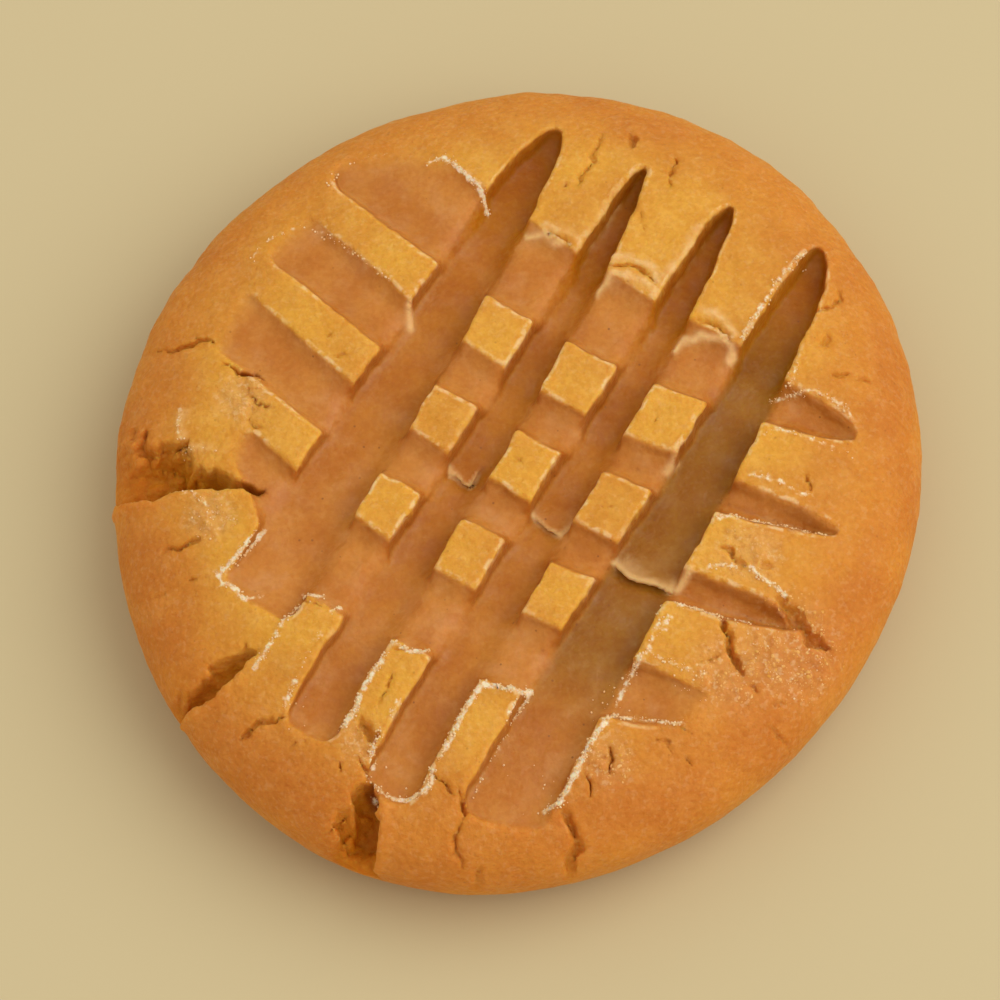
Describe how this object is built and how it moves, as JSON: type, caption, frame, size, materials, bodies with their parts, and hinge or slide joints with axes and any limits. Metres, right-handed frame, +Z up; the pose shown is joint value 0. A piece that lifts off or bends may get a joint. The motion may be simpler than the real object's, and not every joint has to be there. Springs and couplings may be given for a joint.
{
  "type": "peanut butter cookie",
  "caption": "Thick round cookie of soft dough with a crosswise grid of fork marks pressed into its crowned top, a rounded cracked rim and a flat base.",
  "frame": {"origin": "middle of the cookie's footprint, on the flat face it rests on", "axes": "+Z up through the pressed top, +Y along the cookie's slightly longer way, +X to its right seen from above"},
  "size_m": [0.057, 0.061, 0.013],
  "materials": {
    "baked_dough": "soft golden-brown dough, matt on the raised lands, with a faint buttery sheen in the pressed grooves"
  },
  "bodies": {
    "root": {"cookie": "baked_dough"}
  },
  "joints": []
}
